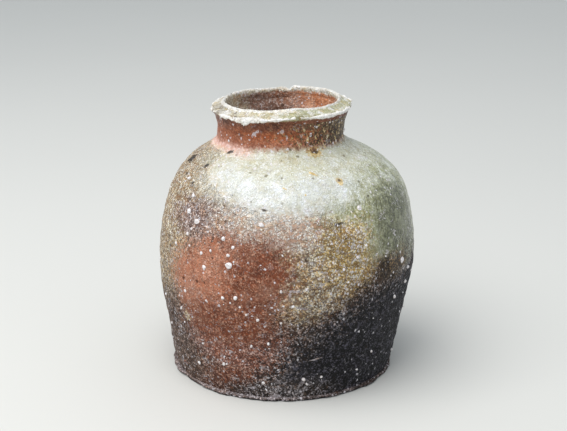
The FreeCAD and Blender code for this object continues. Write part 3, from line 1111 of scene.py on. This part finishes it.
def makeSlab():
    outer = rowsBetween(outerCurve, jar["lipTop"], jar["lipTop"] + 1, 0.5)[0]
    innerRow = rowsBetween(innerCurve, jar["slabTop"], jar["slabTop"] + 1, 0.5)[0]
    half = jar["lipTop"] / 2
    gap = slab["axisGap"]
    under = [(radius, 0, 0, -1) for radius in np.linspace(gap, outer[0] - 0.4, slab["underRows"])]
    lip = []
    for angle in np.linspace(-90, 84, slab["lipRows"]):
        side, rise = math.cos(math.radians(angle)), math.sin(math.radians(angle))
        lip.append((outer[0] + side * slab["lipOut"], half + rise * half, side, rise))
    topRadii = np.linspace(innerRow[0] - 0.6, gap, slab["topRows"])
    top = [(radius, jar["slabTop"], 0, 1) for radius in topRadii]
    rows = np.array(under + lip + [tuple(outer), tuple(innerRow)] + top)
    points, normals = turnedPoints(rows, jar["columns"])
    shift = np.zeros(points.shape[:2])
    lipSlice = slice(len(under), len(under) + len(lip))
    lipPoints = points[lipSlice]
    waver = slab["lipWaver"] * (noiseAt(lipPoints, 6.5, 41) + 0.5 * noiseAt(lipPoints, 2.0, 42))
    turn, width, depth = slab["nick"]
    waver -= depth * nearTurn(lipPoints, turn, width)
    sideways = np.clip(normals[lipSlice][..., 0] ** 2 + normals[lipSlice][..., 1] ** 2, 0, 1)
    shift[lipSlice] = waver * sideways + 0.08 * noiseAt(lipPoints, 0.9, 43)
    points = points + normals * shift[..., None]
    seamRow = len(under) + len(lip)
    points[seamRow] += normals[seamRow] * outerRelief(points[seamRow])[..., None]
    points[seamRow + 1] += normals[seamRow + 1] * innerRelief(points[seamRow + 1])[..., None]
    lifts = 0.5 * easeBetween(0.1, 0.8, noiseAt(lipPoints, 11, 44)) * (lipPoints[..., 2] < half)
    points[lipSlice][..., 2] += lifts
    points[..., 2] = np.maximum(points[..., 2], 0)
    topSlice = slice(seamRow + 2, None)
    points[topSlice][..., 2] += 0.25 * noiseAt(points[topSlice], 9, 45)
    points = leaned(points)
    faces = loopFaces(len(points), jar["columns"], False).tolist()
    flat = points.reshape(-1, 3)
    centres = [[0, 0, 0], [0, 0, jar["slabTop"]]]
    lowCentre, highCentre = len(flat), len(flat) + 1
    lastRow = (len(points) - 1) * jar["columns"]
    for column in range(jar["columns"]):
        after = (column + 1) % jar["columns"]
        faces.append([lowCentre, after, column])
        faces.append([highCentre, lastRow + column, lastRow + after])
    flat = np.concatenate([flat, leaned(np.array(centres, float))])
    return makeObject("baseSlab", flat, faces, [footClay, hollowClay], [0] * len(faces))


handIn(makeSlab(), "base_slab")
print("slab made")


def randomVector(nodes, low, high, seed):
    node = nodes.tree.nodes.new("FunctionNodeRandomValue")
    node.data_type = "FLOAT_VECTOR"
    node.inputs[0].default_value = low
    node.inputs[1].default_value = high
    nodes.feed(node.inputs["Seed"], seed)
    return node.outputs[0]


def makeGrainTree():
    tree = bpy.data.node_groups.new("grainScatter", "GeometryNodeTree")
    tree.interface.new_socket("Geometry", in_out="INPUT", socket_type="NodeSocketGeometry")
    for name in ("Density", "Smallest", "Largest"):
        tree.interface.new_socket(name, in_out="INPUT", socket_type="NodeSocketFloat")
    tree.interface.new_socket("Seed", in_out="INPUT", socket_type="NodeSocketInt")
    tree.interface.new_socket("Material", in_out="INPUT", socket_type="NodeSocketMaterial")
    tree.interface.new_socket("Geometry", in_out="OUTPUT", socket_type="NodeSocketGeometry")
    nodes = Nodes(tree)
    given = tree.nodes.new("NodeGroupInput").outputs
    leave = tree.nodes.new("NodeGroupOutput").inputs
    share = nodes.add("GeometryNodeInputNamedAttribute", {"data_type": "FLOAT"}, Name="grainShare")
    density = nodes.times(given["Density"], share.outputs["Attribute"])
    scatter = nodes.add("GeometryNodeDistributePointsOnFaces", {"distribute_method": "RANDOM"},
                        Mesh=given["Geometry"], Seed=given["Seed"])
    nodes.feed(scatter.inputs["Density"], density)
    chance = nodes.add("FunctionNodeRandomValue", {"data_type": "FLOAT"}, Seed=given["Seed"]).outputs[1]
    small = nodes.math("POWER", chance, 3.0)
    spread = nodes.math("SUBTRACT", given["Largest"], given["Smallest"])
    radius = nodes.math("MULTIPLY_ADD", small, spread, given["Smallest"])
    squash = randomVector(nodes, (0.7, 0.7, 0.5), (1.25, 1.25, 0.9), given["Seed"])
    turnBy = randomVector(nodes, (-0.4, -0.4, 0.0), (0.4, 0.4, 6.28), given["Seed"])
    stone = nodes.add("GeometryNodeMeshIcoSphere", Radius=1.0, Subdivisions=2).outputs["Mesh"]
    spun = tree.nodes.new("FunctionNodeRotateRotation")
    nodes.feed(spun.inputs[0], scatter.outputs["Rotation"])
    nodes.feed(spun.inputs[1], turnBy)
    stones = nodes.add("GeometryNodeInstanceOnPoints", Points=scatter.outputs["Points"], Instance=stone,
                       Rotation=spun.outputs[0], Scale=nodes.scaled(squash, radius))
    real = nodes.add("GeometryNodeRealizeInstances", Geometry=stones.outputs["Instances"])
    smooth = nodes.add("GeometryNodeSetShadeSmooth", Geometry=real.outputs["Geometry"])
    painted = nodes.add("GeometryNodeSetMaterial", Geometry=smooth.outputs["Geometry"],
                        Material=given["Material"])
    nodes.feed(leave["Geometry"], painted.outputs["Geometry"])
    return tree


grainTree = makeGrainTree()


# Runs a geometry nodes tree on an object and returns the points, in millimetres, and faces it makes.
def growMesh(source, tree, values):
    modifier = source.modifiers.new(tree.name, "NODES")
    modifier.node_group = tree
    for item in tree.interface.items_tree:
        if item.in_out == "INPUT" and item.name in values:
            modifier[item.identifier] = values[item.name]
    bpy.context.view_layer.update()
    evaluated = source.evaluated_get(bpy.context.evaluated_depsgraph_get())
    mesh = bpy.data.meshes.new_from_object(evaluated)
    source.modifiers.remove(modifier)
    points = np.empty(len(mesh.vertices) * 3)
    mesh.vertices.foreach_get("co", points)
    faces = [list(polygon.vertices) for polygon in mesh.polygons]
    bpy.data.meshes.remove(mesh)
    return points.reshape(-1, 3) / mm, faces


# One object from several lots of points and faces.
def joinMeshes(name, lots, material):
    points, faces = [], []
    count = 0
    for lotPoints, lotFaces in lots:
        faces.extend([corner + count for corner in face] for face in lotFaces)
        points.append(lotPoints)
        count += len(lotPoints)
    return makeObject(name, np.concatenate(points), faces, [material], [0] * len(faces))


# How thickly the scatter falls at each point.
def addShare(piece, share):
    shares = piece.data.attributes.new("grainShare", "FLOAT", "POINT")
    shares.data.foreach_set("value", share.reshape(-1).astype(np.float32))


def makeRim():
    top, edge, bead = jar["top"], jar["rimRadius"], jar["beadHeight"]
    outside, inside = outerCurve[-1], innerCurve[-1]
    mouth = inside[0]
    stations = [
        (outside[0], outside[1]), (edge - 1.2, bead - 1.1), (edge - 0.35, bead - 0.1),
        (edge - 0.9, bead + 0.7), (edge - 2.8, top - 1.95), (mouth + 2.3, top - 1.25),
        (mouth + 1.5, top - 0.75), (mouth + rim["ridge"], top), (mouth + 0.2, top - 0.35),
        (mouth - 0.2, top - 1.8), (mouth, inside[1])]
    curve = withNormals(smoothThrough(stations, 400))
    along = np.concatenate([[0], np.cumsum(np.linalg.norm(np.diff(curve[:, :2], axis=0), axis=1))])
    places = np.linspace(0, along[-1], round(along[-1] / rim["step"]))
    rows = np.column_stack([np.interp(places, along, curve[:, index]) for index in range(4)])
    rows[0, 2:], rows[-1, 2:] = outside[2:], inside[2:]
    points, normals = turnedPoints(rows, jar["columns"])
    shift = rim["waver"] * noiseAt(points, 5.5, 51) + rim["crumble"] * noiseAt(points, 1.5, 52)
    shift += 0.06 * noiseAt(points, 0.8, 53)
    fade = np.minimum(places, along[-1] - places)[:, None]
    shift *= easeBetween(0, 2.0, fade)
    shift[0] = outerRelief(points[0])
    shift[-1] = innerRelief(points[-1])
    points = points + normals * shift[..., None]
    turn, width, depth = rim["notch"]
    chip = depth * nearTurn(points, turn, width) * easeBetween(top - 2.2, top, points[..., 2])
    points[..., 2] -= chip
    points = leaned(points)
    faces = loopFaces(len(points), jar["columns"], True)
    return makeObject("rimBand", points.reshape(-1, 3), faces, [rimClay], [0] * len(faces))


handIn(makeRim(), "rim_band")


# The crust of melted ash along the rim's lower edge, with a clump that hung down at the front left.
crust = {
    "rows": 14,
    "radius": 0.72,
    "waver": 0.34,
    "crumble": 0.35,
    "clump": (-30, 19, 2.0),
}


crumbSizes = {
    "Density": 420000.0,  # for each square metre
    "Smallest": 0.16 * mm,  # radii
    "Largest": 0.62 * mm,
    "Seed": 5,
}


def makeCrust():
    turn, width, extra = crust["clump"]
    middle = jar["rimRadius"] - 0.75
    rows = []
    for angle in np.linspace(0, 2 * math.pi, crust["rows"], endpoint=False):
        side, rise = math.cos(angle), -math.sin(angle)
        height = jar["beadHeight"] - rise * crust["radius"]
        rows.append((middle + side * crust["radius"], height, side, -rise))
    points, normals = turnedPoints(np.array(rows), jar["columns"])
    shift = crust["waver"] * noiseAt(points, 4.5, 61) + crust["crumble"] * noiseAt(points, 1.3, 62)
    shift += 0.12 * noiseAt(points, 0.7, 63) - 0.1
    clump = nearTurn(points, turn, width) * (0.6 + 0.6 * noiseAt(points, 3.0, 64))
    points = points + normals * (shift + 0.45 * clump)[..., None]
    points[..., 2] -= extra * clump * (normals[..., 2] < 0.3)
    points = leaned(points)
    faces = loopFaces(len(points), jar["columns"], True)
    core = makeObject("crustCore", points.reshape(-1, 3), faces, [ashCrust], [0] * len(faces))
    share = 0.25 + 0.75 * nearTurn(points, turn, width * 1.6)
    addShare(core, share)
    crumbs = growMesh(core, grainTree, {**crumbSizes, "Material": ashCrust})
    bpy.data.objects.remove(core)
    return joinMeshes("rimAshBead", [(points.reshape(-1, 3), faces.tolist()), crumbs], ashCrust)


handIn(makeCrust(), "rim_ash_bead")
print("rim and its ash made")


# How far inside the patches of melted ash a point lies, from under 0 outside to 1 at their middles.
def ashCover(points):
    drift = np.stack([noiseAt(points, 16, 71), noiseAt(points, 16, 72), noiseAt(points, 16, 73)], -1)
    moved = points + 3.5 * drift
    cover = np.full(points.shape[:-1], -1.0)
    for name, (turn, height), (around, tall), climb, *_ in firing:
        if name in coatBlobs:
            off = moved - place(turn, height)
            angle = math.radians(turn)
            off[..., 2] -= climb * (off[..., 0] * math.cos(angle) + off[..., 1] * math.sin(angle))
            cover = np.maximum(cover, 1 - np.linalg.norm(off / [around, around, tall], axis=-1))
    return cover + 0.05 * noiseAt(points, 1.6, 74)


glaze = {
    "low": 40,  # nothing melted below this height
    "thickness": 0.32,
    "sunk": 0.1,  # how far its edge dips under the clay
    "body": 0.35,  # how deep its back lies in the clay
    "ripple": 0.06,
    "leastCover": -0.03,
}


def makeGlazeCoat():
    rows = rowsBetween(outerCurve, glaze["low"], jar["neckFoot"] + 1.5, jar["outerStep"])
    points, normals = turnedPoints(rows, jar["columns"])
    cover = ashCover(points)
    rise = glaze["thickness"] * easeBetween(0.02, 0.3, cover)
    rise = rise - glaze["sunk"] * (1 - easeBetween(-0.02, 0.08, cover))
    calm = 1 - 0.4 * easeBetween(0.1, 0.4, cover)
    ripples = glaze["ripple"] * noiseAt(points * [1, 1, 0.35], 2.6, 75)
    surface = outerRelief(points) * calm + rise + ripples * easeBetween(0.05, 0.3, cover)
    top = leaned(points + normals * surface[..., None]).reshape(-1, 3)
    under = leaned(points + normals * (outerRelief(points) - glaze["body"])[..., None]).reshape(-1, 3)
    quads = loopFaces(len(rows), jar["columns"], False)
    kept = quads[cover.reshape(-1)[quads].min(axis=1) > glaze["leastCover"]]
    used = np.unique(kept)
    renumber = np.full(len(top), -1)
    renumber[used] = np.arange(len(used))
    upper = renumber[kept]
    lower = upper[:, ::-1] + len(used)
    edges = np.concatenate([upper[:, [i, (i + 1) % 4]] for i in range(4)])
    keys = np.sort(edges, axis=1)
    _, index, counts = np.unique(keys, axis=0, return_index=True, return_counts=True)
    rimEdges = edges[index[counts == 1]]
    start, end = rimEdges.T
    sides = np.column_stack([end, start, start + len(used), end + len(used)])
    faces = np.concatenate([upper, lower, sides])
    points = np.concatenate([top[used], under[used]])
    return makeObject("ashGlazeCoat", points, faces, [ashGlaze], [0] * len(faces))


handIn(makeGlazeCoat(), "ash_glaze_coat")
print("glaze made")


# Feldspar grains, scattered over the outside by geometry nodes.
grains = {
    "Density": 15000.0,  # for each square metre
    "Smallest": 0.22 * mm,  # radii
    "Largest": 0.95 * mm,
    "Seed": 8,
}
bigGrains = [  # turn, height, radius
    (-25.5, 61.5, 1.35), (-22, 48, 0.95), (-28, 47, 0.7), (-38, 58.5, 0.85), (-52, 79, 1.1),
    (-45, 76, 1.15), (-29, 72, 0.9), (-53, 85, 0.9), (-24, 69, 0.75), (-40, 64, 0.7), (35, 83, 1.2),
    (-12, 79, 0.9), (-35, 66, 0.6), (60, 56, 1.5), (-12, 39, 0.7), (-17, 41, 0.55), (-2, 38, 0.5),
    (-50, 70, 0.75), (-20, 44, 0.5), (8, 53, 0.6), (24, 60, 0.6), (31, 64, 0.7), (36, 68, 0.6),
    (-58, 64, 0.7), (-46, 12, 0.8), (-10, 9, 0.7), (18, 11, 0.6), (120, 50, 1.2), (150, 70, 1.0),
    (175, 33, 1.3), (-140, 60, 1.1), (-120, 40, 0.9), (-160, 82, 1.0), (95, 64, 0.9),
]
skinColumns = 280
bigStone = {
    "columns": 20,
    "rows": 12,
    "uneven": 0.22,
    "flat": 0.6,  # its thickness as a share of its width
    "pitted": 1.05,  # from this radius up it has a pit
    "pitDepth": 0.55,
    "proud": 0.1,  # how far its middle stands out, as a share of its radius
}


def makeSkin():
    rows = rowsBetween(outerCurve, 2.5, jar["collarTop"] - 1, 1.3)
    points, normals = turnedPoints(rows, skinColumns)
    share = 0.35 + 0.65 * easeBetween(-0.5, 0.6, noiseAt(points, 9, 81))
    share *= 1 - 0.75 * easeBetween(0.0, 0.35, ashCover(points))
    share *= 1 - 0.7 * easeBetween(jar["neckFoot"], jar["neckFoot"] + 3, points[..., 2])
    points = leaned(points + normals * outerRelief(points)[..., None])
    faces = loopFaces(len(rows), skinColumns, False)
    skin = makeObject("grainSkin", points.reshape(-1, 3), faces, [feldspar], [0] * len(faces))
    addShare(skin, share)
    return skin


# A rounded stone half sunk in the wall, with a pit in its face where it is a large one.
def makeStone(turn, height, radius, seed):
    columns, rows = bigStone["columns"], bigStone["rows"]
    tilt = np.linspace(0, math.pi, rows + 2)[1:-1]
    spin = np.linspace(0, 2 * math.pi, columns, endpoint=False)
    tilts, spins = np.meshgrid(tilt, spin, indexing="ij")
    around = [np.sin(tilts) * np.cos(spins), np.sin(tilts) * np.sin(spins), np.cos(tilts)]
    ball = np.concatenate([np.stack(around, -1).reshape(-1, 3), [[0, 0, 1], [0, 0, -1]]])
    ball *= (1 + bigStone["uneven"] * noiseAt(ball, 0.8, seed))[:, None]
    if radius > bigStone["pitted"]:
        offMiddle = (ball[:, 0] - 0.15) ** 2 + (ball[:, 1] + 0.3) ** 2
        ball[:, 2] -= bigStone["pitDepth"] * np.exp(-offMiddle / 0.12) * (ball[:, 2] > 0)
    ball *= [radius, radius, radius * bigStone["flat"]]
    index = np.argmin(np.abs(outerCurve[:, 1] - height))
    normalRadius, normalHeight = outerCurve[index, 2:]
    angle = math.radians(turn)
    outward = np.array([normalRadius * math.sin(angle), -normalRadius * math.cos(angle), normalHeight])
    side = np.array([math.cos(angle), math.sin(angle), 0])
    up = np.cross(outward, side)
    middle = place(turn, height)[None]
    surface = middle + outward * (outerRelief(middle)[:, None] + bigStone["proud"] * radius)
    points = leaned(surface + ball @ np.stack([side, up, outward]))
    faces = loopFaces(rows, columns, False)[:, ::-1].tolist()
    lastRow = (rows - 1) * columns
    for column in range(columns):
        after = (column + 1) % columns
        faces.append([rows * columns, column, after])
        faces.append([rows * columns + 1, lastRow + after, lastRow + column])
    return points, faces


def makeGrains():
    skin = makeSkin()
    small = growMesh(skin, grainTree, {**grains, "Material": feldspar})
    bpy.data.objects.remove(skin)
    stones = [makeStone(*grain, 100 + number) for number, grain in enumerate(bigGrains)]
    print("small grains", len(small[0]) // 42)
    return joinMeshes("feldsparGrains", [small, *stones], feldspar)


handIn(makeGrains(), "feldspar_grains")
print("grains made")


# Floor, light and camera.
studio = {
    "floor": tone(214, 212, 206),
    "sky": (0.86, 0.93, 1.0),
    "skyStrength": 0.72,
    "lampPower": 9.2,
    "lampSize": 0.9,
    "lampPlace": (-0.32, -0.29, 0.9),
    "cameraDistance": 0.5271,
    "cameraHeight": 0.2330,
    "cameraDown": 17.49,
    "cameraTurn": -0.12,
    "lens": 79.3,
}


def makeStudio():
    bpy.ops.mesh.primitive_plane_add(size=6, location=(0, 0, 0))
    floor = bpy.context.object
    floor.name = "floor"
    material, nodes, shader = newMaterial("paleFloor", 0.2)
    spot = nodes.add("ShaderNodeTexCoord").outputs["Object"]
    cloud = nodes.noise(spot, 0.3, 2.0, 0.5)
    shaded = tuple(share * 0.96 for share in studio["floor"])
    nodes.feed(shader["Base Color"], nodes.mix(cloud, studio["floor"], shaded))
    floor.data.materials.append(material)
    world = bpy.data.worlds.new("sky")
    bpy.context.scene.world = world
    world.use_nodes = True
    background = world.node_tree.nodes["Background"].inputs
    background["Color"].default_value = (*studio["sky"], 1)
    background["Strength"].default_value = studio["skyStrength"]
    lamp = bpy.data.lights.new("softLamp", "AREA")
    lamp.energy = studio["lampPower"]
    lamp.size = studio["lampSize"]
    lampObject = bpy.data.objects.new("softLamp", lamp)
    lampObject.location = studio["lampPlace"]
    aim = -np.array(studio["lampPlace"]) + np.array([0, 0, 0.06])
    lampObject.rotation_euler = (math.atan2(math.hypot(aim[0], aim[1]), -aim[2]), 0,
                                 math.atan2(-aim[0], aim[1]))
    bpy.context.scene.collection.objects.link(lampObject)
    camera = bpy.data.cameras.new("camera")
    camera.lens = studio["lens"]
    camera.sensor_width = 36
    cameraObject = bpy.data.objects.new("camera", camera)
    cameraObject.location = (0, -studio["cameraDistance"], studio["cameraHeight"])
    tilt = math.radians(90 - studio["cameraDown"])
    cameraObject.rotation_euler = (tilt, 0, math.radians(studio["cameraTurn"]))
    bpy.context.scene.collection.objects.link(cameraObject)
    bpy.context.scene.camera = cameraObject
    bpy.context.scene.view_settings.view_transform = "Standard"


makeStudio()
print("studio made")
